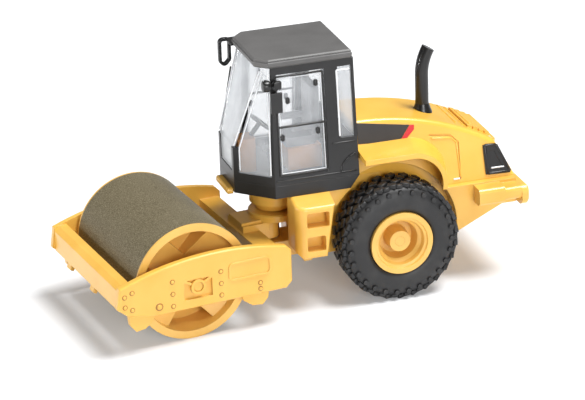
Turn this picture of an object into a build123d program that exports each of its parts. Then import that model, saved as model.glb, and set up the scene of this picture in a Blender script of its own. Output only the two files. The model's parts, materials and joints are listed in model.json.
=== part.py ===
from build123d import *
import os
from math import cos, hypot, radians, sin

os.makedirs("parts", exist_ok=True)

# A die-cast and plastic model of a single-drum soil roller, 1:87.
# Millimetres, +X towards the drum, +Y to the machine's left, +Z up, ground at z = 0.
# Built straight with the drum's axle over x = 0, then steered and centred at the end.

# Main sizes
steer_at_rest = 6.9
hitch_x = -18.0
wheelbase = 33.7

# Drum
drum_radius = 8.8
drum_width = 22.6
shell_wall = 0.35
end_flange = 0.3
end_ring_wall = 0.8
end_ring_depth = 1.5
end_web_depth = 3.1
end_pocket_depth = 5.0
end_back_depth = 5.8
end_hub_radius = 2.4
end_hub_depth = 1.4
pocket_count = 4
pocket_half_angle = 27.0
pocket_apex = 3.1
drum_axle_radius = 0.7
axle_clearance = 0.05

# Drum frame
frame_width = 26.7
plate_wall = 1.0
plate_front = 12.45
plate_rear = -14.75
plate_bottom = 5.6
plate_top = 13.45
plate_nose_top = 10.8
plate_tail_top = 12.15
plate_edge_cut = 0.2
front_beam_wall = 2.0
front_beam_inset = 0.45
front_beam_top = 11.0
front_beam_bottom = 7.2
front_beam_chamfer = 0.7
rear_beam_wall = 3.0
rear_beam_inset = 0.35
rear_beam_top = 10.6
rear_beam_bottom = 6.4
axle_pocket_width = 4.35
axle_pocket_height = 2.95
axle_pocket_drop = 1.75
axle_pocket_depth = 0.4
axle_boss_radius = 1.15
pocket_rib = 0.4
panel_front = -4.75
panel_rear = -11.4
panel_bottom = 8.5
panel_top = 11.35
panel_rim = 0.3
panel_rise = 0.15
foot_wall = 1.1
foot_drop = 1.9
front_foot = 6.6
front_foot_length = 4.0
rear_foot = -6.7
rear_foot_length = 4.5
hook_width = 1.4
hook_drop = 1.0

# Hitch
tongue_width = 5.6
tongue_top = 11.55
tongue_bottom = 10.2
disc_wall = 1.1
disc_radius = 3.8
disc_edge_cut = 0.2
neck_radius = 1.5
neck_offset = 0.9
neck_bottom = 8.3
hitch_pin_radius = 0.8
pin_clearance = 0.05
pin_depth = 2.0
hitch_gap = 0.3
upper_lug_bottom = 14.0
upper_lug_radius = 3.55
lower_lug_bottom = 5.6
lower_lug_radius = 2.6
lug_gusset = 1.4

# Rear frame
belly_width = 11.0
belly_bottom = 6.4
frame_top = 14.8
wall_reach = 2.8
wall_thickness = 1.2
deck_width = 16.4
deck_reach = 4.2
tail_width = 16.0
tail_length = 19.6
tail_rise_length = 17.4
tail_foot_length = 10.4
tail_foot_height = 7.7
tail_heel_height = 11.0
arch_clearance = 1.1
step_width = 23.2
step_length = 6.0
step_lean = 1.4
step_bottom = 8.45
step_face_top = 16.4
step_corner_radius = 1.6
step_round = 0.5
step_pocket_depth = 2.0
step_pocket_height = 2.3
step_pocket_count = 2
step_pitch = 3.7
step_pocket_start = 1.5
step_pocket_length = 3.4
bumper_wall = 1.2
bumper_width = 21.2
bumper_bottom = 11.2
bumper_top = 14.3
bumper_round = 1.2
bumper_edge_cut = 0.3
side_block_length = 4.1
side_block_start = 12.9
side_block_bottom = 12.0
side_block_top = 14.6

# Wheels
tyre_radius = 9.1
tyre_inner_face = 6.2
tyre_width = 6.2
tread_drop = 0.7
shoulder_drop = 0.6
lug_count = 32
lug_width = 0.95
lug_height = 0.4
rim_radius = 4.75
rim_lip = 0.75
rim_dish = 3.4
wheel_hub_radius = 1.6
wheel_hub_drop = 1.0
rear_axle_radius = 0.75

# Hood
hood_gap = 0.25
hood_top = 26.1
hood_half_bottom = 6.9
hood_half_top = 4.9
hood_edge_round = 0.8
hood_seam_front = 17.9
hood_heel = 20.0
hood_shoulder = 17.1
louvre_count = 5
louvre_pitch = 0.9
louvre_half = 4.0
louvre_rise = 0.5
door_groove = 0.2
fender_lip_half = 10.5
fender_wall = 0.85
exhaust_behind = 12.6
exhaust_height = 8.0
exhaust_radius = 1.0

# Cab
cab_floor_bottom = 17.3
cab_floor_top = 19.2
nose_top = 24.3
cab_top = 36.8
roof_thickness = 1.3
cab_nose_reach = 6.9
cab_nose_half = 3.6
cab_brow_reach = 3.0
cab_brow_half = 5.5
cab_side_reach = 2.1
cab_side_half = 8.35
cab_top_side_reach = 1.7
cab_top_half = 6.6
cab_length = 17.65
cab_wall = 0.6
glass_wall = 0.35
glass_inset = 0.1
sill_height = 1.3
rail_height = 1.1
ledge_height = 5.9
door_front_share = 0.06
door_rear_share = 0.64
quarter_front_share = 0.8
quarter_rear_share = 0.965
corner_post_share = 0.92
nose_post_share = 0.12
brow_post_share = 0.05
roof_nose_reach = 0.6
roof_nose_half = 5.0
console_width = 2.8
console_height = 5.2
seat_reach = 8.5
seat_length = 5.2
seat_half = 3.0
seat_base_height = 3.4
wheel_ring_radius = 1.9
mirror_height = 3.0
loop_height = 4.6
loop_width = 1.9
loop_thickness = 0.45
front_bar_wall = 0.9
front_bar_half = 3.0
front_bar_height = 1.0

cab_nose_x = hitch_x + cab_nose_reach
cab_rear = cab_nose_x - cab_length
cab_brow_x = hitch_x + cab_brow_reach
cab_side_x = hitch_x + cab_side_reach
cab_top_side_x = hitch_x + cab_top_side_reach
cab_middle = (cab_nose_x + cab_rear) / 2
glass_bottom = cab_floor_top + sill_height
glass_top = cab_top - rail_height
ledge_top = cab_floor_top + ledge_height
seat_front = cab_nose_x - seat_reach
seat_bottom = cab_floor_top + seat_base_height
hood_front = cab_rear - hood_gap
disc_top = tongue_top + disc_wall
step_front = hitch_x
wall_front = hitch_x - wall_reach
wall_back = wall_front - wall_thickness
tyre_outer_face = tyre_inner_face + tyre_width
axle_height = tyre_radius
axle_x = -wheelbase
tail_rear = axle_x - tail_length


# An upright plate: an outline in x and z, from one y to another
def upright(face, y0, y1):
    placed = Pos(0, y0, 0) * (Plane.XZ * face)
    return extrude(placed, amount=y1 - y0, dir=(0, 1, 0))


# A level plate: an outline in x and y, from one height to another
def level(face, z0, z1):
    return extrude(Pos(0, 0, z0) * face, amount=z1 - z0, dir=(0, 0, 1))


def polygon(*points):
    return make_face(Polyline(*points, close=True))


def soft_polygon(radius, *points):
    return make_face(FilletPolyline(*points, radius=radius, close=True))


def block(x0, x1, y0, y1, z0, z1):
    size = Box(abs(x1 - x0), abs(y1 - y0), abs(z1 - z0))
    return Pos((x0 + x1) / 2, (y0 + y1) / 2, (z0 + z1) / 2) * size


# A round bar along y
def cross_bar(radius, x, z, y0, y1):
    return Pos(x, (y0 + y1) / 2, z) * Rot(90, 0, 0) * Cylinder(radius, abs(y1 - y0))


def round_bar(radius, x, y, z0, z1):
    return Pos(x, y, (z0 + z1) / 2) * Cylinder(radius, z1 - z0)


def mirrored(shape):
    return mirror(shape, about=Plane.XZ)


def both_sides(shape):
    return shape + mirrored(shape)


# The outline of the side plate: arched top, raised nose, rounded tail
def plate_outline():
    arch_start = (plate_front - 0.45, plate_nose_top)
    arch_end = (plate_rear + 0.75, plate_tail_top)
    arch = ThreePointArc(arch_start, ((plate_front + plate_rear) / 2 - 0.4, plate_top), arch_end)
    rest = Polyline(
        arch_end,
        (plate_rear, plate_tail_top - 0.8),
        (plate_rear, plate_bottom + 0.9),
        (plate_rear + 0.9, plate_bottom),
        (plate_front - 5.6, plate_bottom),
        (plate_front - 1.7, plate_bottom + 0.75),
        (plate_front, plate_bottom + 2.1),
        arch_start,
    )
    return make_face([arch, *rest.edges()])


# A straight rib in x and z from one point towards another
def rib(start, end, y0, y1):
    length = hypot(end[0] - start[0], end[1] - start[1])
    across = ((end[1] - start[1]) / length * pocket_rib / 2, (start[0] - end[0]) / length * pocket_rib / 2)
    return upright(
        polygon(
            (start[0] + across[0], start[1] + across[1]),
            (end[0] + across[0], end[1] + across[1]),
            (end[0] - across[0], end[1] - across[1]),
            (start[0] - across[0], start[1] - across[1]),
        ),
        y0,
        y1,
    )


# The pocket round the drum's axle, with its boss and the two ribs in a V
def axle_pocket(outer):
    half = axle_pocket_width / 2
    bottom = drum_radius - axle_pocket_drop
    top = bottom + axle_pocket_height
    floor = outer - axle_pocket_depth
    middle = (0, drum_radius)
    ribs = rib(middle, (half, top), floor, outer) + rib(middle, (-half, top), floor, outer)
    boss = cross_bar(axle_boss_radius, 0, drum_radius, floor - plate_wall / 2, outer + panel_rise)
    return block(-half, half, floor, outer, bottom, top) - ribs - boss


# The raised rounded frame behind the pocket
def panel_frame(outer):
    def outline(inset):
        return soft_polygon(
            0.8 - inset,
            (panel_front - inset, panel_top - inset),
            (panel_rear + inset, panel_top - inset),
            (panel_rear + inset, panel_bottom + inset),
            (panel_front - inset, panel_bottom + inset),
        )

    return upright(outline(0) - outline(panel_rim), outer - 0.1, outer + panel_rise)


# A stepped bracket under the plate, from its front or rear end back over a length
def plate_foot(start, length):
    outer = frame_width / 2
    top = plate_bottom + 0.6
    low = plate_bottom - foot_drop
    outline = polygon(
        (start, top),
        (start + length, top),
        (start + length * 0.95, low + foot_drop / 2),
        (start + length * 0.75, low),
        (start + length * 0.4, low + foot_drop * 0.1),
        (start + length * 0.1, low + foot_drop * 0.6),
    )
    return upright(outline, outer - plate_wall - foot_wall / 3, outer - foot_wall / 3)


# One side plate on the left, with all that is cast on it
def side_plate():
    outer = frame_width / 2
    inner = outer - plate_wall
    plate = upright(plate_outline(), inner, outer)
    plate = chamfer(plate.faces().sort_by(Axis.Y)[-1].edges(), plate_edge_cut)
    plate -= axle_pocket(outer)
    plate += cross_bar(axle_boss_radius, 0, drum_radius, inner, outer + panel_rise)
    plate += panel_frame(outer)
    plate += plate_foot(front_foot, front_foot_length)
    plate += plate_foot(rear_foot, -rear_foot_length)
    bore = cross_bar(drum_axle_radius + axle_clearance, 0, drum_radius, inner - 1, outer + 1)
    return plate - bore


def front_beam():
    half = frame_width / 2 - plate_wall
    front = plate_front - front_beam_inset
    outline = polygon(
        (front - front_beam_wall, front_beam_top),
        (front - front_beam_chamfer, front_beam_top),
        (front, front_beam_top - front_beam_chamfer),
        (front, front_beam_bottom),
        (front - front_beam_wall, front_beam_bottom),
    )
    beam = upright(outline, -half, half)
    low = front_beam_bottom - hook_drop
    hook = polygon(
        (front - 1.4, front_beam_bottom + 0.2),
        (front - 0.1, front_beam_bottom + 0.2),
        (front + 0.2, low + 0.3),
        (front - 0.3, low),
        (front - 0.7, low + 0.6),
    )
    for y in (-frame_width / 4, frame_width / 11):
        beam += upright(hook, y - hook_width / 2, y + hook_width / 2)
    return beam


def rear_beam():
    half = frame_width / 2 - plate_wall
    back = plate_rear + rear_beam_inset
    return block(back, back + rear_beam_wall, -half, half, rear_beam_bottom, rear_beam_top)


# The tongue over the rear beam, the disc that turns in the hitch, and the neck below it
def tongue():
    half = tongue_width / 2
    back = plate_rear + rear_beam_inset
    front = back + rear_beam_wall - 0.4
    arm = block(hitch_x + disc_radius / 2, front, -half, half, tongue_bottom, tongue_top)
    pad = block(hitch_x + disc_radius / 2, front, -half + 0.5, half - 0.5, tongue_top, tongue_top + 0.4)
    disc = round_bar(disc_radius, hitch_x, 0, tongue_top, disc_top)
    disc = chamfer(disc.edges().sort_by(Axis.Z)[-1], disc_edge_cut)
    neck = round_bar(neck_radius, hitch_x + neck_offset, 0, neck_bottom, tongue_top)
    web = block(hitch_x + neck_offset, back + 0.5, -neck_radius, neck_radius, neck_bottom, tongue_top)
    bore = round_bar(hitch_pin_radius + pin_clearance, hitch_x, 0, neck_bottom - 1, disc_top + 1)
    return arm + pad + disc + neck + web - bore


def drum_frame():
    return both_sides(side_plate()) + front_beam() + rear_beam() + tongue()


def drum_shell():
    half = drum_width / 2 - end_flange
    outer = cross_bar(drum_radius, 0, drum_radius, -half, half)
    return outer - cross_bar(drum_radius - shell_wall, 0, drum_radius, -half - 1, half + 1)


# A drum end: ring, coned web with triangular pockets, and hub
def drum_end():
    face = drum_width / 2
    radius = drum_radius - shell_wall
    inner = radius - end_ring_wall
    profile = polygon(
        (drum_axle_radius, face - end_back_depth),
        (radius, face - end_back_depth),
        (radius, face - end_flange),
        (drum_radius, face - end_flange),
        (drum_radius, face),
        (inner, face),
        (inner, face - end_ring_depth),
        (end_hub_radius, face - end_web_depth),
        (end_hub_radius, face - end_hub_depth),
        (drum_axle_radius, face - end_hub_depth),
    )
    turned = revolve(profile, Axis.Y)
    a = radians(pocket_half_angle)
    left = (inner * sin(-a), inner * cos(a))
    right = (inner * sin(a), inner * cos(a))
    sides = Polyline(right, (0, pocket_apex), left)
    pocket = make_face([*sides.edges(), ThreePointArc(left, (0, inner), right).edge()])
    cutter = upright(pocket, face - end_pocket_depth, face)
    for k in range(pocket_count):
        turned -= Rot(0, k * 360 / pocket_count, 0) * cutter
    return Pos(0, 0, drum_radius) * turned


def drum_axle():
    reach = frame_width / 2
    return cross_bar(drum_axle_radius, 0, drum_radius, -reach, reach)


def hitch_pin():
    return round_bar(hitch_pin_radius, hitch_x, 0, lower_lug_bottom, upper_lug_bottom + pin_depth)


# A lug plate: round nose at the hitch, straight back to the frame's front wall
def lug(radius, z0, z1, back):
    nose = round_bar(radius, hitch_x, 0, z0, z1)
    arm = block(back, hitch_x, -radius, radius, z0, z1)
    return nose + arm


# A step block on the left, cast with soft edges and two steps let into it
def step_block():
    outer = step_width / 2
    inner = deck_width / 2
    rear = step_front - step_length
    outline = polygon(
        (step_front, step_bottom + 1.0),
        (step_front, cab_floor_bottom),
        (rear, cab_floor_bottom),
        (rear + step_lean, step_bottom),
        (step_front - 1.0, step_bottom),
    )
    body = upright(outline, inner - 1.2, outer) - step_slope()
    behind = rear - step_corner_radius - 1
    corners = ((step_front, 0), (step_front, outer), (behind, outer), (behind, 0))
    body = body & level(soft_polygon(step_corner_radius, *corners), 0, cab_floor_bottom)
    face = body.faces().filter_by(Axis.Y).sort_by(Axis.Y)[-1]
    flat_end = step_front - step_corner_radius - 0.1
    body = fillet(face.edges().filter_by(lambda e: e.center().X < flat_end), step_round)
    for k in range(step_pocket_count):
        top = step_face_top - 0.8 - k * step_pitch
        length = step_pocket_length - k * 0.6
        start = step_front - step_pocket_start
        pocket = soft_polygon(
            0.3,
            (start, top),
            (start - length, top),
            (start - length, top - step_pocket_height),
            (start, top - step_pocket_height),
        )
        body -= upright(pocket, outer - step_pocket_depth, outer + 1)
    return body


# What the step block's sloping top takes away, a wedge along x
def step_slope():
    outer = step_width / 2
    inner = deck_width / 2 + 0.2
    above = cab_floor_bottom + 1
    wedge = polygon((inner, cab_floor_bottom), (outer, step_face_top), (outer, above), (inner, above))
    start = Pos(step_front - step_length - 1, 0, 0)
    return start * extrude(Plane.YZ * wedge, amount=step_length + 2, dir=(1, 0, 0))


# The two lugs that hold the pin, the upper one on a gusset and with a boss under it
def hitch_lugs():
    upper = lug(upper_lug_radius, upper_lug_bottom, cab_floor_bottom, wall_front)
    lower = lug(lower_lug_radius, lower_lug_bottom, neck_bottom - hitch_gap, wall_front)
    gusset = polygon(
        (wall_front, upper_lug_bottom - lug_gusset),
        (wall_front + lug_gusset, upper_lug_bottom),
        (wall_front, upper_lug_bottom),
    )
    boss_height = upper_lug_bottom - disc_top - hitch_gap
    boss = Cone(upper_lug_radius - 0.9, upper_lug_radius - 0.3, boss_height)
    boss = Pos(hitch_x, 0, upper_lug_bottom - boss_height / 2) * boss
    return upper + lower + boss + upright(gusset, -upper_lug_radius, upper_lug_radius)


def rear_frame():
    half_deck = deck_width / 2
    half_belly = belly_width / 2
    wall = block(wall_front, wall_back, -half_deck, half_deck, step_bottom, cab_floor_bottom)
    keel = block(wall_front, wall_back, -half_belly, half_belly, lower_lug_bottom, cab_floor_bottom)
    belly = block(wall_front, axle_x - tail_foot_length, -half_belly, half_belly, belly_bottom, frame_top)
    deck = block(wall_front, hood_front, -half_deck, half_deck, frame_top, cab_floor_bottom)
    seam = hood_front - deck_reach
    half_tail = tail_width / 2
    saddle = block(hood_front + 1, seam, -half_tail, half_tail, frame_top, cab_floor_bottom)
    saddle += block(hood_front, seam, -half_tail, half_tail, frame_top, hood_seam_front)
    outside = both_sides(step_block() + side_block())
    frame = hitch_lugs() + wall + keel + belly + deck + saddle + tail_hull() + outside
    pin_bore = round_bar(hitch_pin_radius, hitch_x, 0, lower_lug_bottom - 1, upper_lug_bottom + pin_depth)
    axle_bore = cross_bar(rear_axle_radius + axle_clearance, axle_x, axle_height, -frame_width, frame_width)
    arch = cross_bar(tyre_radius + arch_clearance, axle_x, axle_height, half_belly, frame_width)
    swing = round_bar(disc_radius + hitch_gap, hitch_x, 0, neck_bottom - hitch_gap, disc_top + hitch_gap)
    return frame - pin_bore - axle_bore - both_sides(arch) - swing


# The frame's tail behind the wheels, rising to the bumper
def tail_hull():
    half = tail_width / 2
    outline = polygon(
        (axle_x - 6.0, frame_top),
        (tail_rear, frame_top),
        (tail_rear, tail_heel_height),
        (axle_x - tail_rise_length, tail_heel_height),
        (axle_x - tail_foot_length, tail_foot_height),
        (axle_x - 6.0, tail_foot_height),
    )
    return upright(outline, -half, half)


# The rounded block on the tail's side, with a lower one behind it
def side_block():
    outer = bumper_width / 2 - 0.1
    inner = tail_width / 2 - 0.5
    start = axle_x - side_block_start
    end = start - side_block_length
    middle_z = (side_block_bottom + side_block_top) / 2
    half_z = (side_block_top - side_block_bottom) / 2

    def section(x0, x1, half):
        outline = soft_polygon(
            0.7,
            (inner - 1, middle_z - half),
            (outer, middle_z - half),
            (outer, middle_z + half),
            (inner - 1, middle_z + half),
        )
        return extrude(Pos(x0, 0, 0) * (Plane.YZ * outline), amount=x0 - x1, dir=(-1, 0, 0))

    return section(start, end, half_z) + section(end, tail_rear, half_z - 0.3)


def rear_bumper():
    half = bumper_width / 2
    outline = soft_polygon(
        bumper_round, (-half, bumper_bottom), (half, bumper_bottom), (half, bumper_top), (-half, bumper_top)
    )
    bar = extrude(Pos(tail_rear, 0, 0) * (Plane.YZ * outline), amount=bumper_wall, dir=(-1, 0, 0))
    return chamfer(bar.faces().sort_by(Axis.X)[0].edges(), bumper_edge_cut)


# The hood from the side: a level start, a long arc down to the shoulder, then the steep tail
def hood_outline():
    front = (hood_front, hood_top)
    shoulder = (axle_x - hood_shoulder, hood_top - 5.7)
    middle = ((front[0] + shoulder[0]) / 2, hood_top - 1.2)
    heel = (axle_x - hood_heel, frame_top)
    seam_x = hood_front - deck_reach
    top = ThreePointArc(front, middle, shoulder)
    rest = Polyline(
        shoulder,
        heel,
        (seam_x, frame_top),
        (seam_x, hood_seam_front),
        (hood_front, hood_seam_front),
        front,
    )
    return make_face([top.edge(), *rest.edges()])


# How far the hood's leaning side stands from the middle at a height
def hood_half(z):
    lean = (hood_half_bottom - hood_half_top) / (hood_top - frame_top)
    return hood_half_bottom - (z - frame_top) * lean


# The hood's outer form: its side outline cut by its leaning cross-section, with soft shoulders
def hood_block():
    side_form = upright(hood_outline(), -hood_half_bottom, hood_half_bottom)
    body = side_form & hood_section(0)
    seam = hood_front - deck_reach
    shoulders = body.edges().filter_by(
        lambda e: e.center().X < seam - 0.5 and e.center().Z > frame_top + 0.5 and abs(e.center().Y) > 1
    )
    return fillet(shoulders, hood_edge_round)


# Lateral louvres across the tail of the hood's top
def louvres():
    shoulder_x = axle_x - hood_shoulder
    half_slat = louvre_pitch * 0.4
    slats = []
    for k in range(louvre_count):
        x = shoulder_x - 0.4 + k * louvre_pitch
        z = hood_top_at(x)
        wedge = polygon(
            (x - half_slat, z - 0.8),
            (x - half_slat, z + louvre_rise * 0.6),
            (x + half_slat, z + louvre_rise),
            (x + half_slat, z - 0.8),
        )
        slats.append(upright(wedge, -louvre_half, louvre_half))
    return slats


# The height of the hood's top at x, read off the same arc
def hood_top_at(x):
    column = block(x - 0.01, x + 0.01, -0.5, 0.5, frame_top, hood_top + 1) & upright(hood_outline(), -1, 1)
    return column.bounding_box().max.Z


# The door outline on the hood's side, a shallow groove that follows its lean
def door_line():
    front, back = axle_x - 7.0, axle_x - 11.3
    top, bottom = hood_top - 3.6, frame_top + 0.7
    groove = 0.25
    outline = Polyline((front, top), (back + 1.2, top - 0.4), (back, top - 1.6), (back, bottom))
    strip = offset(outline, groove / 2, side=Side.BOTH)
    cutter = upright(make_face(strip.edges()), 0, hood_half_bottom + 1)
    return both_sides(cutter) - hood_section(door_groove)


# The hood's leaning cross-section over its whole length, drawn in by a depth
def hood_section(depth):
    low, high = frame_top - 2, hood_top + 2
    half_low, half_high = hood_half(low) - depth, hood_half(high) - depth
    section = polygon((-half_low, low), (half_low, low), (half_high, high), (-half_high, high))
    return extrude(Pos(hood_front, 0, 0) * (Plane.YZ * section), amount=wheelbase, dir=(-1, 0, 0))


def hood():
    arch = cross_bar(tyre_radius + arch_clearance, axle_x, axle_height, belly_width / 2, frame_width)
    body = hood_block() - both_sides(arch) - door_line()
    for slat in louvres():
        body += slat
    return body + both_sides(fender())


# The flared fender over one wheel, lofted from the hood's side out to its lip
def fender():
    def band(y, top, turn, rear, foot, wall):
        bend_top = (turn, top)
        foot_point = (rear, foot)
        middle = (rear + (turn - rear) * 0.27, top - (top - foot) * 0.27)
        under_middle = (middle[0] + wall * 0.7, middle[1] - wall * 0.7)
        edges = [
            Line((hood_front, top), bend_top),
            ThreePointArc(bend_top, middle, foot_point),
            Line(foot_point, (rear + wall, foot)),
            ThreePointArc((rear + wall, foot), under_middle, (turn, top - wall)),
            Line((turn, top - wall), (hood_front, top - wall)),
            Line((hood_front, top - wall), (hood_front, top)),
        ]
        return Pos(0, y, 0) * (Plane.XZ * make_face([e.edge() for e in edges]))

    inside = band(hood_half_top, 22.7, axle_x - 4.1, axle_x - 9.5, frame_top + 0.3, fender_wall)
    outside = band(fender_lip_half, 22.0, axle_x - 2.9, axle_x - 7.9, frame_top + 0.9, fender_wall * 0.9)
    return loft([inside, outside], ruled=True)


def vent_panel():
    top, bottom = frame_top + 5.1, frame_top + 0.7
    outline = polygon(
        (axle_x - 15.1, top),
        (axle_x - 17.1, top),
        (axle_x - 19.2, bottom),
        (axle_x - 15.3, bottom),
    )
    recess = polygon(
        (axle_x - 15.9, top - 0.9),
        (axle_x - 16.8, top - 0.9),
        (axle_x - 18.0, bottom + 0.8),
        (axle_x - 16.0, bottom + 0.8),
    )
    plate = upright(outline, 0, frame_width) - hood_section(0)
    plate = plate & hood_section(-0.2)
    return plate - (upright(recess, 0, frame_width) - hood_section(-0.08))


# The exhaust stack: a flared foot on the hood and a stem that bends back at its tip
def exhaust():
    x = hood_front - exhaust_behind
    bend_z = hood_top + exhaust_height / 2
    foot = Cone(exhaust_radius * 1.5, exhaust_radius, 1.4)
    foot = Pos(x, 0, hood_top - 1.2) * foot
    base = round_bar(exhaust_radius * 1.5, x, 0, hood_top - 3, hood_top - 1.9)
    stem = round_bar(exhaust_radius, x, 0, hood_top - 1, bend_z)
    tip = (x - 1.1, 0, hood_top + exhaust_height)
    path = TangentArc((x, 0, bend_z), tip, tangent=(0, 0, 1))
    bend = sweep(Pos(x, 0, bend_z) * Circle(exhaust_radius), path=path.edge())
    return base + foot + stem + bend - hood_block()


# The cab's outline in plan at a height, as its left half from nose to rear corner
def cab_corner(name, z):
    low = (z - cab_floor_top) / (nose_top - cab_floor_top)
    high = (z - nose_top) / (cab_top - nose_top)
    all_up = (z - cab_floor_top) / (cab_top - cab_floor_top)
    if name == "nose":
        if low <= 1:
            return (cab_nose_x, cab_nose_half)
        return (
            cab_nose_x + high * (cab_brow_x - cab_nose_x),
            cab_nose_half + high * (cab_brow_half - cab_nose_half),
        )
    side = cab_side_half + all_up * (cab_top_half - cab_side_half)
    if name == "side":
        return (cab_side_x + all_up * (cab_top_side_x - cab_side_x), side)
    return (cab_rear, side)


# A piece of the cab's wall: from share t0 to t1 of one edge, between two heights
def wall_piece(start, end, t0, t1, z0, z1, thick, inset=0.0):
    faces = []
    for z in (z0, z1):
        ax, ay = start(z)
        bx, by = end(z)
        length = hypot(bx - ax, by - ay)
        ux, uy = (bx - ax) / length, (by - ay) / length
        nx, ny = uy, -ux
        if nx * (cab_middle - ax) - ny * ay < 0:
            nx, ny = -nx, -ny
        corners = []
        for t, depth in ((t0, inset), (t1, inset), (t1, inset + thick), (t0, inset + thick)):
            px = ax + t * (bx - ax) + depth * nx
            py = ay + t * (by - ay) + depth * ny
            corners.append((px, py, z))
        faces.append(make_face(Polyline(*corners, close=True)))
    return loft(faces, ruled=True)


def nose(z):
    return cab_corner("nose", z)


def far_nose(z):
    x, y = cab_corner("nose", z)
    return (x, -y)


def side(z):
    return cab_corner("side", z)


def rear(z):
    return cab_corner("rear", z)


def far_rear(z):
    x, y = cab_corner("rear", z)
    return (x, -y)


def cab_plan(z, inset):
    half = [cab_corner("nose", z), cab_corner("side", z), cab_corner("rear", z)]
    points = half + [(x, -y) for x, y in reversed(half)]
    outline = make_face(Polyline(*points, close=True))
    if inset:
        outline = offset(outline, -inset, kind=Kind.INTERSECTION)
    return Pos(0, 0, z) * outline


# A band of the cab's wall all the way round
def cab_ring(z0, z1, thick):
    outer = loft([cab_plan(z0, 0), cab_plan(z1, 0)], ruled=True)
    inner = loft([cab_plan(z0, thick), cab_plan(z1, thick)], ruled=True)
    return outer - inner


def cab_base():
    lower = [
        (cab_nose_x, cab_nose_half),
        (cab_side_x, cab_side_half),
        (cab_rear + 1.4, cab_side_half),
    ]
    points = lower + [(x, -y) for x, y in reversed(lower)]
    bottom = Pos(0, 0, cab_floor_bottom) * make_face(Polyline(*points, close=True))
    return loft([bottom, cab_plan(cab_floor_top, 0)], ruled=True)


# The black frame: sill all round, posts, the rail over the doors and the panel behind them
def cab_frame():
    frame = cab_ring(cab_floor_top, glass_bottom, cab_wall)
    z0 = glass_bottom - 0.1
    posts = [
        wall_piece(side, rear, 0.0, door_front_share, z0, cab_top, cab_wall),
        wall_piece(nose, side, corner_post_share, 1.0, z0, nose_top, cab_wall),
        wall_piece(nose, side, corner_post_share, 1.0, nose_top, cab_top, cab_wall),
        wall_piece(side, rear, door_rear_share, quarter_front_share, z0, cab_top, cab_wall),
        wall_piece(side, rear, quarter_rear_share, 1.0, z0, cab_top, cab_wall),
        wall_piece(side, rear, quarter_front_share - 0.02, 1.0, z0, ledge_top, cab_wall),
        wall_piece(side, rear, 0.0, 1.0, glass_top, cab_top, cab_wall),
        wall_piece(nose, side, 0.0, nose_post_share, z0, nose_top, cab_wall),
        wall_piece(nose, far_nose, 0.0, nose_post_share, z0, nose_top, cab_wall),
    ]
    for post in posts:
        frame += both_sides(post)
    frame += wall_piece(rear, far_rear, 0.0, 1.0, z0, ledge_top, cab_wall)
    frame += wall_piece(rear, far_rear, 0.0, 1.0, glass_top, cab_top, cab_wall)
    return frame


# The roof: a bulged fascia under a thin plate, narrower at the front corners
def cab_roof():
    def plan(z, grow):
        half = [
            (cab_brow_x + roof_nose_reach + grow, roof_nose_half + grow * 0.5),
            (cab_top_side_x + 0.3 + grow * 0.5, cab_top_half + grow),
            (cab_rear + 0.5 - grow, cab_top_half + grow),
        ]
        points = half + [(x, -y) for x, y in reversed(half)]
        return Pos(0, 0, z) * make_face(Polyline(*points, close=True))

    shares = [(0.0, 0.05), (0.2, 0.25), (0.6, 0.3), (0.72, 0.15), (0.85, 0.22), (1.0, 0.0)]
    return loft([plan(cab_top + share * roof_thickness, grow) for share, grow in shares], ruled=True)


def side_glass():
    start, end = door_front_share, door_rear_share
    return wall_piece(side, rear, start, end, glass_bottom, glass_top, glass_wall, glass_inset)


def quarter_glass():
    start, end = quarter_front_share, quarter_rear_share
    return wall_piece(side, rear, start, end, ledge_top, glass_top, glass_wall, glass_inset)


def corner_glass():
    start, end = nose_post_share, corner_post_share
    low = wall_piece(nose, side, start, end, glass_bottom, nose_top, glass_wall, glass_inset)
    high = wall_piece(nose, side, start, end, nose_top, cab_top, glass_wall, glass_inset)
    return low + high - wall_piece(side, rear, 0.0, door_front_share, nose_top, cab_top, cab_wall)


def front_glass():
    start, end = nose_post_share, 1 - nose_post_share
    low = wall_piece(nose, far_nose, start, end, glass_bottom, nose_top, glass_wall, glass_inset)
    start, end = brow_post_share, 1 - brow_post_share
    high = wall_piece(nose, far_nose, start, end, nose_top, cab_top, glass_wall, glass_inset)
    return low + high


def rear_glass():
    return wall_piece(rear, far_rear, 0.06, 0.94, ledge_top, glass_top, glass_wall, glass_inset)


def console():
    front = cab_nose_x - 1.5
    half = console_width / 2
    return block(front, front - 2.6, -half, half, cab_floor_top, cab_floor_top + console_height)


# The steering wheel on its column, leaning back over the console
def steering_wheel():
    top = cab_floor_top + console_height
    lean = Pos(cab_nose_x - 4.6, 0, top + 0.9) * Rot(0, -40, 0)
    column = lean * Cylinder(0.35, 2.4) - console()
    hub = lean * Pos(0, 0, 1.2)
    ring = Cylinder(wheel_ring_radius, 0.35) - Cylinder(wheel_ring_radius - 0.4, 1)
    spoke = Box(0.5, 2 * wheel_ring_radius - 0.3, 0.25)
    return column + hub * ring + hub * spoke


def seat():
    back = seat_front - seat_length
    cushion = block(seat_front, back + 0.8, -2.4, 2.4, seat_bottom, seat_bottom + 1.4)
    rest = block(back + 1.2, back, -2.3, 2.3, seat_bottom + 0.4, seat_bottom + 8.8)
    arms = block(seat_front - 0.8, back + 1.0, 2.2, seat_half, seat_bottom + 2.6, seat_bottom + 3.4)
    return cushion + rest + both_sides(arms)


def seat_base():
    return block(seat_front, seat_front - seat_length, -seat_half, seat_half, cab_floor_top, seat_bottom)


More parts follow.
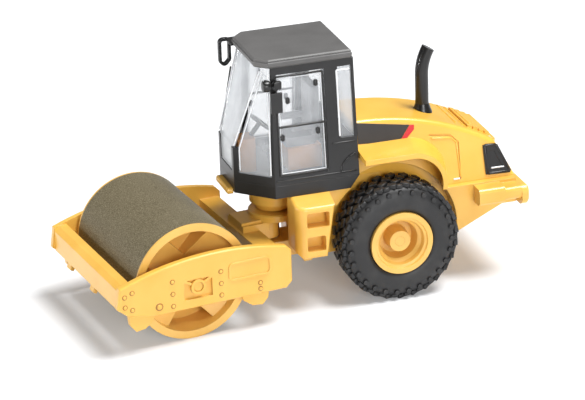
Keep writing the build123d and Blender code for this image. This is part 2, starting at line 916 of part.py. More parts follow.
# The rounded bar across the cab's nose
def front_bar():
    middle = cab_floor_bottom
    half = front_bar_height / 2
    outline = soft_polygon(
        half * 0.9,
        (-front_bar_half, middle - half),
        (front_bar_half, middle - half),
        (front_bar_half, middle + half),
        (-front_bar_half, middle + half),
    )
    bar = extrude(Pos(cab_nose_x, 0, 0) * (Plane.YZ * outline), amount=front_bar_wall, dir=(1, 0, 0))
    return chamfer(bar.faces().sort_by(Axis.X)[-1].edges(), 0.2)


# The box mirror that stands off the left front post
def mirror_left():
    top = cab_top - 3.3
    front = cab_side_x + 0.2
    head = block(front, front - 1.7, cab_side_half - 0.4, cab_side_half, top - mirror_height, top)
    arm = block(cab_side_x - 0.6, cab_side_x - 1.0, cab_top_half, cab_side_half - 0.3, top - 0.9, top - 0.5)
    return head + arm - cab_frame()


# The looped mirror at the roof's right front corner, on an arm from the roof
def mirror_right():
    rear_x = cab_brow_x + 0.4
    top = cab_top + 0.4
    outline = soft_polygon(
        0.7,
        (rear_x, top),
        (rear_x + loop_width, top),
        (rear_x + loop_width, top - loop_height * 0.8),
        (rear_x + loop_width * 0.55, top - loop_height),
        (rear_x, top - loop_height * 0.75),
    )
    outer = cab_top_half + 1.2
    loop = upright(outline - offset(outline, -loop_thickness), -outer, -outer + 0.6)
    arm = block(rear_x + 0.8, rear_x - 0.6, -outer + 0.3, -roof_nose_half + 0.5, top - 0.3, top)
    return loop + arm - cab_roof()


def wheel_place(shape):
    return Pos(axle_x, 0, axle_height) * shape


# A tyre: the turned carcass with lugs that reach over the shoulder on alternate sides
def tyre():
    middle = (tyre_inner_face + tyre_outer_face) / 2
    half = tyre_width / 2
    carcass = tyre_radius - lug_height
    land = half - tread_drop
    widest = (carcass + rim_radius) / 2
    quarter = [
        (carcass, land),
        (carcass - shoulder_drop, half - tread_drop / 3),
        (widest, half),
        (rim_radius, half - shoulder_drop),
    ]
    outer = [(radius, middle + reach) for radius, reach in quarter]
    inner = [(radius, middle - reach) for radius, reach in reversed(quarter)]
    body = revolve(polygon(*outer, *inner), Axis.Y)
    lugs = []
    for k in range(lug_count):
        side = 1 if k % 2 else -1
        start = middle - 0.2 * side
        end = middle + (land + tread_drop / 3) * side
        bar = block(-lug_width / 2, lug_width / 2, start, end, carcass - lug_height, tyre_radius)
        lugs.append(Rot(0, k * 360 / lug_count, 0) * bar)
    return wheel_place(body + lugs)


def rim():
    inner = tyre_inner_face + shoulder_drop
    outer = tyre_outer_face + 0.1
    dish = outer - rim_dish
    profile = polygon(
        (rear_axle_radius, inner),
        (rim_radius, inner),
        (rim_radius, outer),
        (rim_radius - rim_lip, outer),
        (rim_radius - rim_lip - 0.1, outer - 0.35),
        (rim_radius - rim_lip - 0.45, outer - 0.45),
        (rim_radius - rim_lip - 0.6, outer - 1.2),
        (rim_radius - rim_lip - 1.1, outer - 1.6),
        (rim_radius - rim_lip - 1.4, dish),
        (wheel_hub_radius + 0.2, dish),
        (wheel_hub_radius, outer - wheel_hub_drop),
        (rear_axle_radius, outer - wheel_hub_drop),
    )
    return wheel_place(revolve(profile, Axis.Y))


def rear_axle():
    reach = tyre_outer_face + 0.1 - wheel_hub_drop
    return cross_bar(rear_axle_radius, axle_x, axle_height, -reach, reach)


front_body = {
    "drum_frame": drum_frame(),
    "drum_shell": drum_shell(),
    "drum_end_left": drum_end(),
    "drum_end_right": mirrored(drum_end()),
    "drum_axle": drum_axle(),
}

rear_body = {
    "rear_frame": rear_frame(),
    "hitch_pin": hitch_pin(),
    "rear_bumper": rear_bumper(),
    "hood": hood(),
    "vent_left": vent_panel(),
    "vent_right": mirrored(vent_panel()),
    "exhaust": exhaust(),
    "cab_base": cab_base(),
    "cab_frame": cab_frame(),
    "cab_roof": cab_roof(),
    "glass_left": side_glass(),
    "glass_right": mirrored(side_glass()),
    "quarter_glass_left": quarter_glass(),
    "quarter_glass_right": mirrored(quarter_glass()),
    "corner_glass_left": corner_glass(),
    "corner_glass_right": mirrored(corner_glass()),
    "glass_front": front_glass(),
    "glass_rear": rear_glass(),
    "console": console(),
    "steering_wheel": steering_wheel(),
    "seat": seat(),
    "seat_base": seat_base(),
    "front_bar": front_bar(),
    "mirror_left": mirror_left(),
    "mirror_right": mirror_right(),
    "rear_axle": rear_axle(),
    "rim_left": rim(),
    "rim_right": mirrored(rim()),
    "tyre_left": tyre(),
    "tyre_right": mirrored(tyre()),
}

# Steer the front frame about the hitch pin, then centre the whole over the origin
hitch_axis = Axis((hitch_x, 0, 0), (0, 0, 1))
pieces = dict(rear_body)
for node, shape in front_body.items():
    pieces[node] = shape.rotate(hitch_axis, steer_at_rest)
whole = Compound(children=[Compound(shape.solids()) for shape in pieces.values()])
box = whole.bounding_box()
shift = Pos(-(box.min.X + box.max.X) / 2, -(box.min.Y + box.max.Y) / 2, 0)
for node, shape in pieces.items():
    export_step(Compound(shape.solids()).moved(shift), f"parts/{node}.step")
print("shift", round(shift.position.X, 4), round(shift.position.Y, 4))
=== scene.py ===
import json
import math
import bpy
from mathutils import Matrix, Vector


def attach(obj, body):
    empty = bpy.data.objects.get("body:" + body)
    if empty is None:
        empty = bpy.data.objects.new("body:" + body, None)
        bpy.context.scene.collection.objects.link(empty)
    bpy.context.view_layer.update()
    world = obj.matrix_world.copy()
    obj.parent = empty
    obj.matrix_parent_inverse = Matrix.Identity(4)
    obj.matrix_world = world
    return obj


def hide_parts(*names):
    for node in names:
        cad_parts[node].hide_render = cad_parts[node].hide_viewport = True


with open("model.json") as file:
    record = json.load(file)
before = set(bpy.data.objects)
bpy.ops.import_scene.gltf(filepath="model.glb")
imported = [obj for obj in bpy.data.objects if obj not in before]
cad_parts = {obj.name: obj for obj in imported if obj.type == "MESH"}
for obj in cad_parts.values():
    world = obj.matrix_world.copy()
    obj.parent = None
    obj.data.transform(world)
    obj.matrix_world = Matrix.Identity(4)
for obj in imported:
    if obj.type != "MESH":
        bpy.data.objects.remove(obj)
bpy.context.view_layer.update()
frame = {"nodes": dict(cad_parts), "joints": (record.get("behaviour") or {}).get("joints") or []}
nodes = frame["nodes"]
mm = 0.001

# Pieces are laid out in millimetres from the drum's axle, with the machine straight
layout = {"hitchX": -18.0, "axleX": -33.7, "plateFace": 13.35, "tyreRadius": 9.1}
pins = {joint["name"]: joint for joint in frame["joints"]}
hitch = Vector(pins["articulation"]["pos_m"])
drumAxis = Vector(pins["drum_spin"]["axis"])
steer = math.atan2(-drumAxis.x, drumAxis.y)
rearPlace = Matrix.Translation((hitch.x - layout["hitchX"] * mm, hitch.y, 0))
toHitch = Matrix.Translation((-layout["hitchX"] * mm, 0, 0))
frontPlace = Matrix.Translation((hitch.x, hitch.y, 0)) @ Matrix.Rotation(steer, 4, "Z") @ toHitch
places = {
    "rear_frame": rearPlace, "rear_wheels": rearPlace,
    "front_frame": frontPlace, "drum": frontPlace,
}


# Shading helpers
class Wire:  # a node's socket that takes part in sums
    def __init__(self, finish, socket):
        self.finish = finish
        self.socket = socket

    def sum(self, operation, first, second):
        return self.finish.add("ShaderNodeMath", {"operation": operation}, {0: first, 1: second})

    def __add__(self, other):
        return self.sum("ADD", self, other)

    def __radd__(self, other):
        return self.sum("ADD", other, self)

    def __mul__(self, other):
        return self.sum("MULTIPLY", self, other)


class Finish:  # one material and its nodes
    def __init__(self, name):
        self.material = bpy.data.materials.new(name)
        self.material.use_nodes = True
        self.tree = self.material.node_tree
        self.shader = self.tree.nodes["Principled BSDF"]
        self.place = self.add("ShaderNodeTexCoord", out="Object")

    def add(self, kind, settings=None, sockets=None, out=0):
        node = self.tree.nodes.new(kind)
        for name, value in (settings or {}).items():
            if name == "stops":
                self.setStops(node.color_ramp, value)
            else:
                setattr(node, name, value)
        for name, value in (sockets or {}).items():
            self.feed(node.inputs[name], value)
        return Wire(self, node.outputs[out])

    def setStops(self, ramp, stops):
        for index, (position, colour) in enumerate(stops):
            stop = ramp.elements[index] if index < 2 else ramp.elements.new(position)
            stop.position = position
            stop.color = colour

    def feed(self, socket, value):
        if isinstance(value, Wire):
            self.tree.links.new(value.socket, socket)
        else:
            socket.default_value = value

    def set(self, **sockets):
        for name, value in sockets.items():
            self.feed(self.shader.inputs[name.replace("_", " ")], value)

    def noise(self, size, detail=3):
        return self.add("ShaderNodeTexNoise", {}, {"Vector": self.place, "Scale": 1 / size, "Detail": detail})

    def ramp(self, value, low, high):
        stops = [(low, (0, 0, 0, 1)), (high, (1, 1, 1, 1))]
        return self.add("ShaderNodeValToRGB", {"stops": stops}, {"Fac": value})

    def blend(self, mask, first, second):
        return self.add("ShaderNodeMix", {"data_type": "RGBA"}, {"Factor": mask, 6: first, 7: second}, out=2)

    def bump(self, height, depth, edge=0):
        sockets = {"Height": height, "Distance": depth, "Strength": 1}
        if edge:
            sockets["Normal"] = self.add("ShaderNodeBevel", {"samples": 6}, {"Radius": edge})
        return self.add("ShaderNodeBump", {}, sockets)


def tone(red, green, blue):  # a screen colour from 0 to 255, as the shader wants it
    def linear(value):
        share = value / 255
        return share / 12.92 if share < 0.04 else ((share + 0.055) / 1.055) ** 2.4
    return (linear(red), linear(green), linear(blue), 1)


def sprayedPaint(name, colour, shade, rough=0.3):  # thick paint that softens every edge
    finish = Finish(name)
    cloud = finish.ramp(finish.noise(5 * mm), 0.3, 0.75)
    grain = finish.noise(0.3 * mm)
    colours = finish.blend(cloud, colour, shade)
    normal = finish.bump(grain, 0.008 * mm, 0.16 * mm)
    finish.set(Base_Color=colours, Roughness=rough + grain * 0.1, Normal=normal)
    finish.set(Coat_Weight=0.3, Coat_Roughness=0.12)
    return finish.material


def rolledSteel():  # dark metallic spray with fine flecks
    finish = Finish("rolledSteel")
    fleck = finish.noise(0.16 * mm, 2)
    stain = finish.noise(4 * mm, 3)
    dark = finish.blend(finish.ramp(fleck, 0.38, 0.72), tone(84, 75, 52), tone(146, 136, 110))
    colours = finish.blend(finish.ramp(stain, 0.4, 0.8) * 0.25, dark, tone(128, 119, 96))
    finish.set(Base_Color=colours, Metallic=0.25, Roughness=0.44 + fleck * 0.16)
    finish.set(Normal=finish.bump(fleck, 0.01 * mm))
    return finish.material


def mouldedPlastic(name, colour, blotchTone, rough):
    finish = Finish(name)
    grain = finish.noise(0.25 * mm)
    colours = finish.blend(finish.ramp(finish.noise(4 * mm), 0.35, 0.8), colour, blotchTone)
    finish.set(Base_Color=colours, Roughness=rough + grain * 0.08)
    finish.set(Normal=finish.bump(grain, 0.006 * mm, 0.12 * mm))
    return finish.material


def clearMoulding():  # clear styrene, a little milky all over with random haze, and whiter where it lies edge on as a painted reflection
    finish = Finish("clearMoulding")
    smear = finish.ramp(finish.noise(3.5 * mm), 0.35, 0.75)
    # whitening that grows as the surface turns edge on is a painted reflection
    edgeOnReflection = finish.add("ShaderNodeLayerWeight", {}, {"Blend": 0.35}, out="Facing")
    hazeAndReflection = edgeOnReflection * 0.5 + smear * 0.12 + 0.14
    finish.set(Base_Color=tone(236, 240, 244), Roughness=0.06 + smear * 0.05, Alpha=hazeAndReflection)
    finish.set(IOR=1.55, Specular_IOR_Level=0.9)
    return finish.material


def tyreRubber():
    finish = Finish("tyreRubber")
    dust = finish.noise(2.5 * mm, 4)
    grain = finish.noise(0.2 * mm)
    colours = finish.blend(finish.ramp(dust, 0.45, 0.85), tone(30, 30, 31), tone(52, 51, 50))
    finish.set(Base_Color=colours, Roughness=0.42 + grain * 0.16)
    finish.set(Normal=finish.bump(grain, 0.008 * mm))
    return finish.material


def turnedSteel():
    finish = Finish("turnedSteel")
    ring = finish.noise(0.3 * mm, 2)
    colours = finish.blend(ring, tone(120, 116, 108), tone(185, 180, 170))
    finish.set(Base_Color=colours, Metallic=0.9, Roughness=0.28 + ring * 0.15)
    return finish.material


yellow = sprayedPaint("yellowPaint", tone(232, 181, 82), tone(224, 171, 68))
# a darker yellow used only for the rings of painted shade round the bolt heads
boltShadeYellow = sprayedPaint("boltShadeYellow", tone(170, 118, 38), tone(158, 108, 34), 0.4)
hoodYellow = sprayedPaint("hoodYellow", tone(236, 184, 76), tone(230, 175, 62), 0.26)
rimYellow = sprayedPaint("rimYellow", tone(232, 184, 92), tone(224, 174, 80), 0.34)
black = mouldedPlastic("cabBlack", tone(17, 16, 16), tone(30, 29, 29), 0.26)
grey = mouldedPlastic("roofGrey", tone(96, 95, 94), tone(86, 85, 84), 0.44)
seatGrey = mouldedPlastic("seatGrey", tone(120, 119, 121), tone(108, 107, 109), 0.5)
paneGrey = mouldedPlastic("paneGrey", tone(176, 174, 172), tone(160, 158, 156), 0.4)
tan = sprayedPaint("insideTan", tone(205, 142, 76), tone(196, 132, 68), 0.5)
decalDark = mouldedPlastic("decalDark", tone(40, 36, 34), tone(48, 44, 41), 0.32)
decalRed = mouldedPlastic("decalRed", tone(205, 40, 44), tone(196, 34, 38), 0.32)
steel = rolledSteel()
rubber = tyreRubber()
clear = clearMoulding()
# a near-white used only for painted highlights on the glass edges, the vent lip and the door handle
highlightWhite = mouldedPlastic("highlightWhite", tone(232, 234, 236), tone(220, 222, 225), 0.2)
pinSteel = turnedSteel()

finishes = {
    "drum_frame": yellow, "rear_frame": yellow, "rear_bumper": yellow, "front_bar": yellow,
    "hood": hoodYellow, "vent_left": black, "vent_right": black, "exhaust": black,
    "cab_base": black, "cab_frame": black, "cab_roof": grey,
    "console": tan, "seat": seatGrey, "seat_base": tan, "steering_wheel": black,
    "mirror_left": black, "mirror_right": black,
    "drum_shell": steel, "drum_end_left": rimYellow, "drum_end_right": rimYellow,
    "drum_axle": yellow, "hitch_pin": pinSteel, "rear_axle": rimYellow,
    "rim_left": rimYellow, "rim_right": rimYellow, "tyre_left": rubber, "tyre_right": rubber,
}
for name, node in nodes.items():
    finish = finishes.get(name, clear)
    node.data.materials.clear()
    node.data.materials.append(finish)
print("finishes on", len(nodes), "nodes")


# Modelling helpers, sizes in millimetres
def letGo():
    if bpy.context.mode != "OBJECT":
        bpy.ops.object.mode_set(mode="OBJECT")
    bpy.ops.object.select_all(action="DESELECT")


def pick(*pieces):
    letGo()
    for piece in pieces:
        piece.select_set(True)
    bpy.context.view_layer.objects.active = pieces[0]


def openMesh(piece):
    pick(piece)
    bpy.ops.object.mode_set(mode="EDIT")
    bpy.ops.mesh.select_all(action="SELECT")


def closeMesh(piece):
    bpy.ops.mesh.select_all(action="SELECT")
    bpy.ops.mesh.normals_make_consistent(inside=False)
    bpy.ops.object.mode_set(mode="OBJECT")
    return piece


def addBlock(low, high, soften=0.08, segments=2):  # a block with every edge rounded
    letGo()
    centre = (Vector(low) + Vector(high)) / 2 * mm
    bpy.ops.mesh.primitive_cube_add(size=1, location=centre)
    piece = bpy.context.object
    piece.scale = (Vector(high) - Vector(low)) * mm
    bpy.ops.object.transform_apply(location=True, rotation=False, scale=True)
    openMesh(piece)
    bpy.ops.mesh.bevel(offset=soften * mm, segments=segments)
    return closeMesh(piece)


def addRod(radius, start, end, soften=0.05, sides=20):  # a rod from point to point
    letGo()
    start, end = Vector(start) * mm, Vector(end) * mm
    along = end - start
    turn = along.to_track_quat("Z", "Y").to_euler()
    bpy.ops.mesh.primitive_cylinder_add(
        vertices=sides, radius=radius * mm, depth=along.length, location=(start + end) / 2, rotation=turn
    )
    piece = bpy.context.object
    bpy.ops.object.transform_apply(location=True, rotation=True, scale=True)
    piece.data.update()
    openMesh(piece)
    bpy.ops.mesh.select_all(action="DESELECT")
    bpy.ops.object.mode_set(mode="OBJECT")
    axis = along.normalized()
    for face in piece.data.polygons:
        face.select = abs(face.normal.dot(axis)) > 0.9
    bpy.ops.object.mode_set(mode="EDIT")
    bpy.ops.mesh.select_mode(type="FACE")
    bpy.ops.mesh.bevel(offset=soften * mm, segments=2)
    return closeMesh(piece)


def addSheet(points, push):  # an outline of points pushed out into a thin solid
    letGo()
    bpy.ops.mesh.primitive_circle_add(vertices=len(points), radius=mm, fill_type="NGON")
    piece = bpy.context.object
    for vertex, point in zip(piece.data.vertices, points):
        vertex.co = Vector(point) * mm
    openMesh(piece)
    bpy.ops.mesh.extrude_region_move(TRANSFORM_OT_translate={"value": Vector(push) * mm})
    return closeMesh(piece)


def addTurned(points, centre, steps):  # a closed outline of radius and y, spun round the y axis
    letGo()
    bpy.ops.mesh.primitive_circle_add(vertices=len(points), radius=mm, fill_type="NOTHING")
    piece = bpy.context.object
    for vertex, (radius, y) in zip(piece.data.vertices, points):
        vertex.co = Vector((centre[0], y, centre[2] + radius)) * mm
    openMesh(piece)
    pivot = Vector(centre) * mm
    bpy.ops.mesh.spin(steps=steps, angle=math.tau, center=pivot, axis=(0, 1, 0))
    bpy.ops.mesh.select_all(action="SELECT")
    bpy.ops.mesh.remove_doubles(threshold=0.002 * mm)
    return closeMesh(piece)


def ringOf(piece, count, centre):  # copies of a modelled piece all round the y axis
    openMesh(piece)
    sweep = math.tau * (count - 1) / count
    pivot = Vector(centre) * mm
    bpy.ops.mesh.spin(steps=count - 1, dupli=True, angle=sweep, center=pivot, axis=(0, 1, 0))
    return closeMesh(piece)


def copyOf(piece, shift):  # the same piece again at another place
    pick(piece)
    bpy.ops.object.duplicate()
    again = bpy.context.object
    again.location = Vector(shift) * mm
    bpy.ops.object.transform_apply(location=True, rotation=False, scale=False)
    return again


def otherSide(piece):  # the same piece on the machine's right side
    pick(piece)
    bpy.ops.object.duplicate()
    again = bpy.context.object
    again.scale = (1, -1, 1)
    bpy.ops.object.transform_apply(location=False, rotation=False, scale=True)
    openMesh(again)
    return closeMesh(again)


def joined(pieces):
    if len(pieces) > 1:
        pick(*pieces)
        bpy.ops.object.join()
    return pieces[0]


def place(piece, name, body, finish, sharp=35):
    piece.name = name
    piece.data.name = name
    pick(piece)
    piece.matrix_world = places[body] @ piece.matrix_world
    bpy.ops.object.transform_apply(location=True, rotation=True, scale=True)
    bpy.ops.object.shade_smooth_by_angle(angle=math.radians(sharp))
    piece.data.materials.clear()
    piece.data.materials.append(finish)
    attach(piece, body)


def placeBoth(piece, name, body, finish, sharp=35):  # the piece and its mirror
    mirror = otherSide(piece)
    place(piece, name + "_left", body, finish, sharp)
    place(mirror, name + "_right", body, finish, sharp)


# Tyres: smooth side walls, chunky tread blocks in staggered rows and studs on both shoulders
tyre = {
    "centre": (layout["axleX"], 0, layout["tyreRadius"]), "radius": layout["tyreRadius"],
    "inner": 6.2, "outer": 12.4, "bead": 4.75,
    "treadDrop": 0.55, "rows": 4, "perRow": 27, "blockLength": 1.35, "blockWidth": 1.0,
    "studRadius": 0.4, "studRing": 7.85, "studRise": 0.55,
}


def tyreCarcass():
    deep = tyre["radius"] - tyre["treadDrop"]
    inner, outer, bead = tyre["inner"], tyre["outer"], tyre["bead"]
    outside = [
        (bead, outer - 0.55), (bead + 0.25, outer - 0.2), (5.5, outer - 0.04), (6.3, outer),
        (7.2, outer - 0.12), (8.0, outer - 0.42), (deep - 0.12, outer - 0.85), (deep, outer - 1.25),
    ]
    inside = [(radius, inner + outer - y) for radius, y in reversed(outside)]
    return addTurned(outside + inside, tyre["centre"], 96)


def treadBlocks():
    parts = []
    middle = (tyre["inner"] + tyre["outer"]) / 2
    pitch = (tyre["outer"] - tyre["inner"] - 1.4) / tyre["rows"]
    x, top = tyre["centre"][0], tyre["centre"][2] + tyre["radius"]
    for row in range(tyre["rows"]):
        y = middle + (row - (tyre["rows"] - 1) / 2) * pitch
        half = Vector((tyre["blockLength"] / 2, tyre["blockWidth"] / 2, 0))
        low = Vector((x, y, top - tyre["treadDrop"] - 0.15)) - half
        block = addBlock(low, Vector((x, y, top - 0.012)) + half, 0.1, 1)
        openMesh(block)
        lean = 28 if row % 2 else -28
        pivot = Vector((x, y, top)) * mm
        bpy.ops.transform.rotate(value=math.radians(lean), orient_axis="Z", center_override=pivot)
        bpy.ops.object.mode_set(mode="OBJECT")
        ring = ringOf(block, tyre["perRow"], tyre["centre"])
        if row % 2:
            openMesh(ring)
            half = math.pi / tyre["perRow"]
            pivot = Vector(tyre["centre"]) * mm
            bpy.ops.transform.rotate(value=half, orient_axis="Y", center_override=pivot)
            bpy.ops.object.mode_set(mode="OBJECT")
        parts.append(ring)
    return parts


def shoulderStuds():
    x, z = tyre["centre"][0], tyre["centre"][2] + tyre["studRing"]
    face = tyre["outer"] - 0.5
    stud = addRod(tyre["studRadius"], (x, face - 0.2, z), (x, face + tyre["studRise"], z), 0.12, 14)
    studs = ringOf(stud, tyre["perRow"], tyre["centre"])
    block = addBlock((x - 0.55, face - 0.95, z + 0.42), (x + 0.55, face - 0.2, z + 1.08), 0.14, 1)
    blocks = ringOf(block, tyre["perRow"], tyre["centre"])
    outer = joined([studs, blocks])
    inner = otherSide(outer)
    inner.location.y = (tyre["inner"] + tyre["outer"]) * mm
    pick(inner)
    bpy.ops.object.transform_apply(location=True, rotation=False, scale=False)
    return [outer, inner]


leftTyre = joined([tyreCarcass()] + treadBlocks() + shoulderStuds())
rightTyre = otherSide(leftTyre)
for piece, side in ((leftTyre, "left"), (rightTyre, "right")):
    place(piece, "treadedTyre_" + side, "rear_wheels", rubber, 40)
    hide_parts("tyre_" + side)
print("tyres treaded")


# Bolts on both side plates of the drum frame
bolts = {
    "radius": 0.3, "rise": 0.16, "bigRadius": 0.46, "big": (6.09, 6.94),
    "small": [
        (11.3, 9.5), (10.15, 9.95), (11.3, 7.95), (10.2, 7.34), (-9.65, 7.36), (-9.66, 6.43),
        (3.95, 10.36), (3.95, 8.47), (3.95, 6.6), (-3.55, 10.4), (-3.55, 8.54), (-3.55, 6.73),
    ],
}


def disc(share, rise, soften, radius, x=0.0, z=0.0):
    face = layout["plateFace"]
    return addRod(radius * share, (x, face - 0.05, z), (x, face + rise, z), soften, 18)


def allBolts(share, rise, soften):  # the same disc at every bolt of the left plate
    first = disc(share, rise, soften, bolts["radius"])
    discs = [copyOf(first, (x, 0, z)) for x, z in bolts["small"]]
    discs.append(disc(share, rise, soften, bolts["bigRadius"], *bolts["big"]))
    pick(first)
    bpy.ops.object.delete()
    return joined(discs)


# each bolt gets a dark ring of painted shade round its head, then the head itself
for name, finish, sizes in (
    ("boltShadeRing", boltShadeYellow, (1.3, 0.03, 0.01)), ("boltHead", yellow, (0.85, bolts["rise"], 0.08)),
):
    placeBoth(allBolts(*sizes), name, "front_frame", finish)
print("plate bolts set")


# A bare dark panel on both sides of the hood, ending in a plain slanted red stripe
decal = {
    "thick": 0.06, "sunk": -0.02,
    "dark": [(-29.6, 25.85), (-37.7, 24.5), (-36.0, 22.3), (-29.6, 22.75)],
    "red": [(-37.75, 24.49), (-38.4, 24.4), (-38.35, 23.75), (-36.8, 22.25), (-36.05, 22.3)],
    "halfBottom": 6.9, "lean": 0.177, "seam": 14.8,
}


def onHood(x, z, out=0.0):  # a point on the hood's leaning left side
    return (x, decal["halfBottom"] - (z - decal["seam"]) * decal["lean"] + out, z)


for part, finish in (("dark", decalDark), ("red", decalRed)):
    outline = [onHood(x, z, decal["sunk"]) for x, z in decal[part]]
    sheet = addSheet(outline, (0, decal["thick"], 0))
    placeBoth(sheet, "hoodPanel_" + part, "rear_frame", finish, 20)
print("hood panels laid")


# Hood trim: cross ridges on the tail, a raised door outline and framed vents
hoodTrim = {
    "ridges": (-45.6, -46.7, -47.8, -48.9, -49.9), "spanFrom": -4.4, "spanTo": 3.4, "ridge": 0.15,
    "door": [(-40.9, 22.0), (-44.0, 21.65), (-44.75, 20.9), (-45.05, 15.7)],
    "vent": [(-49.1, 19.8), (-49.4, 15.6), (-52.85, 15.5), (-50.9, 19.7)],
    "lip": [(-49.9, 16.35), (-51.9, 16.35)], "handleHighlight": [(-43.9, 15.5), (-44.9, 15.5)],
}


def hoodTop(x, y):  # how high the hood stands at a place, in millimetres
    start = rearPlace @ Vector((x * mm, y * mm, 60 * mm))
    hit, point, normal, face = nodes["hood"].ray_cast(start, Vector((0, 0, -1)))
    return point.z / mm if hit else 20.0


def chain(points, radius, closed=False):  # thin rods from point to point
    ends = points[1:] + points[:1] if closed else points[1:]
    return [addRod(radius, start, end, radius * 0.3, 12) for start, end in zip(points, ends)]


ridges = []
for x in hoodTrim["ridges"]:
    span = hoodTrim["spanTo"] - hoodTrim["spanFrom"]
    across = [hoodTrim["spanFrom"] + span * step / 4 for step in range(5)]
    ridges += chain([(x, y, hoodTop(x, y)) for y in across], hoodTrim["ridge"])
place(joined(ridges), "tailRidges", "rear_frame", hoodYellow, 40)
doorLine = joined(chain([onHood(x, z) for x, z in hoodTrim["door"]], 0.13))
ventFrame = joined(chain([onHood(x, z, 0.05) for x, z in hoodTrim["vent"]], 0.24, True))
# the vent's lip is a white rod of painted highlight along the bottom of the vent recess
ventLipHighlight = joined(chain([onHood(x, z, 0.12) for x, z in hoodTrim["lip"]], 0.13))
# the door handle is a real raised bar, painted white as a painted highlight
handleHighlight = joined(chain([onHood(x, z, 0.02) for x, z in hoodTrim["handleHighlight"]], 0.13))
for piece, name, finish, slot in (
    (doorLine, "doorLine", hoodYellow, "hood_yellow"), (ventFrame, "ventFrame", black, "vent_black"),
    (ventLipHighlight, "ventLipHighlight", highlightWhite, "vent_black"), (handleHighlight, "doorHandleHighlight", highlightWhite, "hood_yellow"),
):
    placeBoth(piece, name, "rear_frame", finish, 40)
print("hood trimmed")


# Cab trim on both doors: rail across the glass, latches, edge beads, lamps and handrail
cab = {
    "floor": 19.2, "top": 36.8, "halfLow": 8.35, "halfHigh": 6.6,
    "rail": (0.17, (-16.7, 27.9), (-24.0, 27.9)),
    "latch": 0.34, "latchDrop": 0.35, "latchOut": 0.14, "latchIn": -0.15,
    "latches": ((-17.45, 26.5), (-22.85, 26.9), (-22.9, 34.0), (-18.55, 31.9)),
    "edge": 0.14, "frontEdge": ((-16.75, 20.7), (-16.95, 35.4)), "rearEdge": ((-24.0, 20.7), (-24.0, 35.4)),
    "bead": 0.12, "beads": (((-16.1, 19.95), (-28.4, 19.95)), ((-24.9, 24.4), (-28.4, 24.4))),
    "groove": 0.16, "arc": [(-28.3, 22.6), (-27.2, 22.1), (-26.4, 21.3), (-26.0, 20.2)],
    # the edge lines below are white rods of painted highlight along the clear moulding
    "noseEdge": (0.12, [(-11.25, 3.55, 24.6), (-14.95, 5.5, 36.2)]),
    "cornerEdge": (0.1, [(-11.9, 4.2, 20.9), (-11.9, 4.2, 24.3), (-15.3, 5.85, 36.0)]),
    "postEdge": (0.1, [(-15.4, 8.0, 20.9), (-15.75, 6.85, 35.9)]),
    "doorEdge": (0.06, [(-17.1, 21.0), (-17.3, 35.1), (-23.7, 35.1), (-23.7, 21.0)]),
    "quarterEdge": (0.13, [(-26.1, 25.4), (-26.1, 35.2), (-28.1, 35.2)]), "quarterOut": 0.02,
}


def onDoor(x, z, out=0.0):  # a point on the cab's leaning left side
    share = (z - cab["floor"]) / (cab["top"] - cab["floor"])
    return (x, cab["halfLow"] - share * (cab["halfLow"] - cab["halfHigh"]) + out, z)


def doorTrim():
    radius, railStart, railEnd = cab["rail"]
    parts = [addRod(radius, onDoor(*railStart), onDoor(*railEnd))]
    for x, z in cab["latches"]:
        for height in (z, z - cab["latchDrop"]):
            ends = onDoor(x, height, cab["latchIn"]), onDoor(x, height, cab["latchOut"])
            parts.append(addRod(cab["latch"], *ends, 0.1))
    frontEdge = [onDoor(x, z) for x, z in cab["frontEdge"]]
    rearEdge = [onDoor(x, z) for x, z in cab["rearEdge"]]
    for ends in (frontEdge, rearEdge, (frontEdge[0], rearEdge[0]), (frontEdge[1], rearEdge[1])):
        parts.append(addRod(cab["edge"], *ends))
    for beadStart, beadEnd in cab["beads"]:
        parts.append(addRod(cab["bead"], onDoor(*beadStart), onDoor(*beadEnd)))
    parts += chain([onDoor(x, z) for x, z in cab["arc"]], cab["groove"])
    return joined(parts)


def paneEdgeHighlights():  # white rods of painted highlight along the edges of the clear moulding
    parts = []
    for name in ("noseEdge", "cornerEdge", "postEdge"):
        radius, points = cab[name]
        parts += chain(points, radius)
    radius, points = cab["doorEdge"]
    parts += chain([onDoor(x, z) for x, z in points], radius, True)
    radius, points = cab["quarterEdge"]
    parts += chain([onDoor(x, z, cab["quarterOut"]) for x, z in points], radius)
    return joined(parts)


placeBoth(doorTrim(), "doorTrim", "rear_frame", black, 40)
placeBoth(paneEdgeHighlights(), "paneEdgeHighlights", "rear_frame", highlightWhite, 40)

# The lamp group on the roof's near corner, the nose handrail and the pale pane
lampGroup = {
    "lamp": (0.85, (-14.65, 7.7, 34.6), (-15.75, 7.7, 34.6), 0.25, 28),
    "box": ((-17.5, 7.15, 33.85), (-16.3, 7.95, 35.05), 0.15),
    "arms": (
        (0.2, (-15.4, 6.7, 35.1), (-15.4, 7.7, 34.8)), (0.2, (-16.8, 6.7, 34.5), (-15.6, 7.7, 34.5)),
        (0.14, (-15.8, 7.7, 33.8), (-16.2, 7.95, 30.0)),
    ),
}
handrail = (
    (0.13, (-13.9, -5.45, 33.4), (-12.55, -5.3, 26.5)), (0.13, (-12.55, -5.3, 26.5), (-11.35, -4.2, 22.0)),
    (0.2, (-12.75, -5.3, 27.4), (-12.55, -4.6, 27.2)), (0.2, (-11.55, -4.5, 23.2), (-11.4, -3.7, 23.0)),
)
nosePane = {"low": (-11.75, -3.1, 20.6), "high": (-11.6, 3.1, 24.2), "soften": 0.05}

lampParts = [addRod(*lampGroup["lamp"]), addBlock(*lampGroup["box"])]
lampParts += [addRod(*arm) for arm in lampGroup["arms"]]
place(joined(lampParts), "cabLamp", "rear_frame", black, 40)
railParts = [addRod(*rod) for rod in handrail]
place(joined(railParts), "frontHandrail", "rear_frame", black, 40)
pane = addBlock(nosePane["low"], nosePane["high"], nosePane["soften"])
place(pane, "nosePane", "rear_frame", paneGrey)
print("cab trimmed")


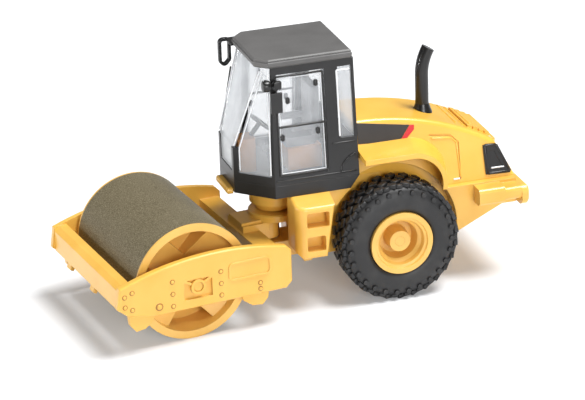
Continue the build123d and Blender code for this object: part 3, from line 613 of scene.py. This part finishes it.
# Floor, lights and camera
stage = {"size": 3.0, "whiteShare": 0.16, "roomLight": 0.24}
camera = {
    "azimuth": 162.64, "elevation": 22.52, "distance": 458.76 * mm,
    "target": (-21.127 * mm, -0.378 * mm, 13.02 * mm), "roll": -1.9, "lens": 190.7,
}
lamps = [
    {"name": "keyLamp", "from": (-0.3, 0.12, 0.88), "size": 0.45, "power": 11.5},
    {"name": "nearLamp", "from": (-0.05, 0.95, 0.3), "size": 0.4, "power": 4.6},
    {"name": "frontLamp", "from": (0.95, 0.05, 0.13), "size": 0.25, "power": 4.2},
]


def seenWhite(finish):  # camera, mirror and see-through rays meet a plain white
    path = finish.tree.nodes.new("ShaderNodeLightPath")
    straight = Wire(finish, path.outputs["Is Camera Ray"])
    glossy = Wire(finish, path.outputs["Is Glossy Ray"])
    through = Wire(finish, path.outputs["Is Transmission Ray"])
    return straight.sum("MAXIMUM", straight, glossy.sum("MAXIMUM", glossy, through))


def layFloor():
    letGo()
    bpy.ops.mesh.primitive_plane_add(size=stage["size"])
    floor = bpy.context.object
    floor.name = "floor"
    finish = Finish("floorPaper")
    finish.set(Base_Color=tone(240, 241, 243), Roughness=0.9, Specular_IOR_Level=0.1)
    glow = finish.add("ShaderNodeEmission", {}, {"Color": (1, 1, 1, 1), "Strength": 1.0})
    share = seenWhite(finish) * stage["whiteShare"]
    paper = Wire(finish, finish.shader.outputs[0])
    mixed = finish.add("ShaderNodeMixShader", {}, {0: share, 1: paper, 2: glow})
    finish.feed(finish.tree.nodes["Material Output"].inputs["Surface"], mixed)
    floor.data.materials.append(finish.material)


def lightWorld():
    world = bpy.data.worlds.new("paleRoom")
    world.use_nodes = True
    bpy.context.scene.world = world
    tree = world.node_tree
    room = tree.nodes["Background"]
    room.inputs["Color"].default_value = (1, 1, 1, 1)
    room.inputs["Strength"].default_value = stage["roomLight"]
    white = tree.nodes.new("ShaderNodeBackground")
    white.inputs["Strength"].default_value = 1.0
    path = tree.nodes.new("ShaderNodeLightPath")
    mix = tree.nodes.new("ShaderNodeMixShader")
    tree.links.new(path.outputs["Is Camera Ray"], mix.inputs[0])
    tree.links.new(room.outputs[0], mix.inputs[1])
    tree.links.new(white.outputs[0], mix.inputs[2])
    tree.links.new(mix.outputs[0], tree.nodes["World Output"].inputs["Surface"])


def hangLamp(name, spot, size, power):
    bpy.ops.object.light_add(type="AREA", location=spot)
    light = bpy.context.object
    light.name = name
    light.data.shape = "DISK"
    light.data.size = size
    light.data.energy = power
    light.rotation_euler = Vector(spot).to_track_quat("Z", "Y").to_euler()


def standCamera():
    turn = math.radians(camera["azimuth"])
    rise = math.radians(camera["elevation"])
    roll = math.radians(camera["roll"])
    back = Vector((math.sin(turn) * math.cos(rise), -math.cos(turn) * math.cos(rise), math.sin(rise)))
    level = Vector((math.cos(turn), math.sin(turn), 0))
    upright = back.cross(level)
    right = math.cos(roll) * level + math.sin(roll) * upright
    up = math.cos(roll) * upright - math.sin(roll) * level
    target = rearPlace @ Vector(camera["target"])
    bpy.ops.object.camera_add(location=target + camera["distance"] * back)
    eye = bpy.context.object
    eye.name = "photoCamera"
    eye.rotation_euler = Matrix((right, up, back)).transposed().to_euler()
    eye.data.lens = camera["lens"]
    eye.data.sensor_width = 36
    eye.data.clip_start = 0.05
    bpy.context.scene.camera = eye


layFloor()
lightWorld()
for light in lamps:
    hangLamp(light["name"], light["from"], light["size"], light["power"])
standCamera()
bpy.context.scene.view_settings.view_transform = "Standard"
print("stage, lights and camera set")
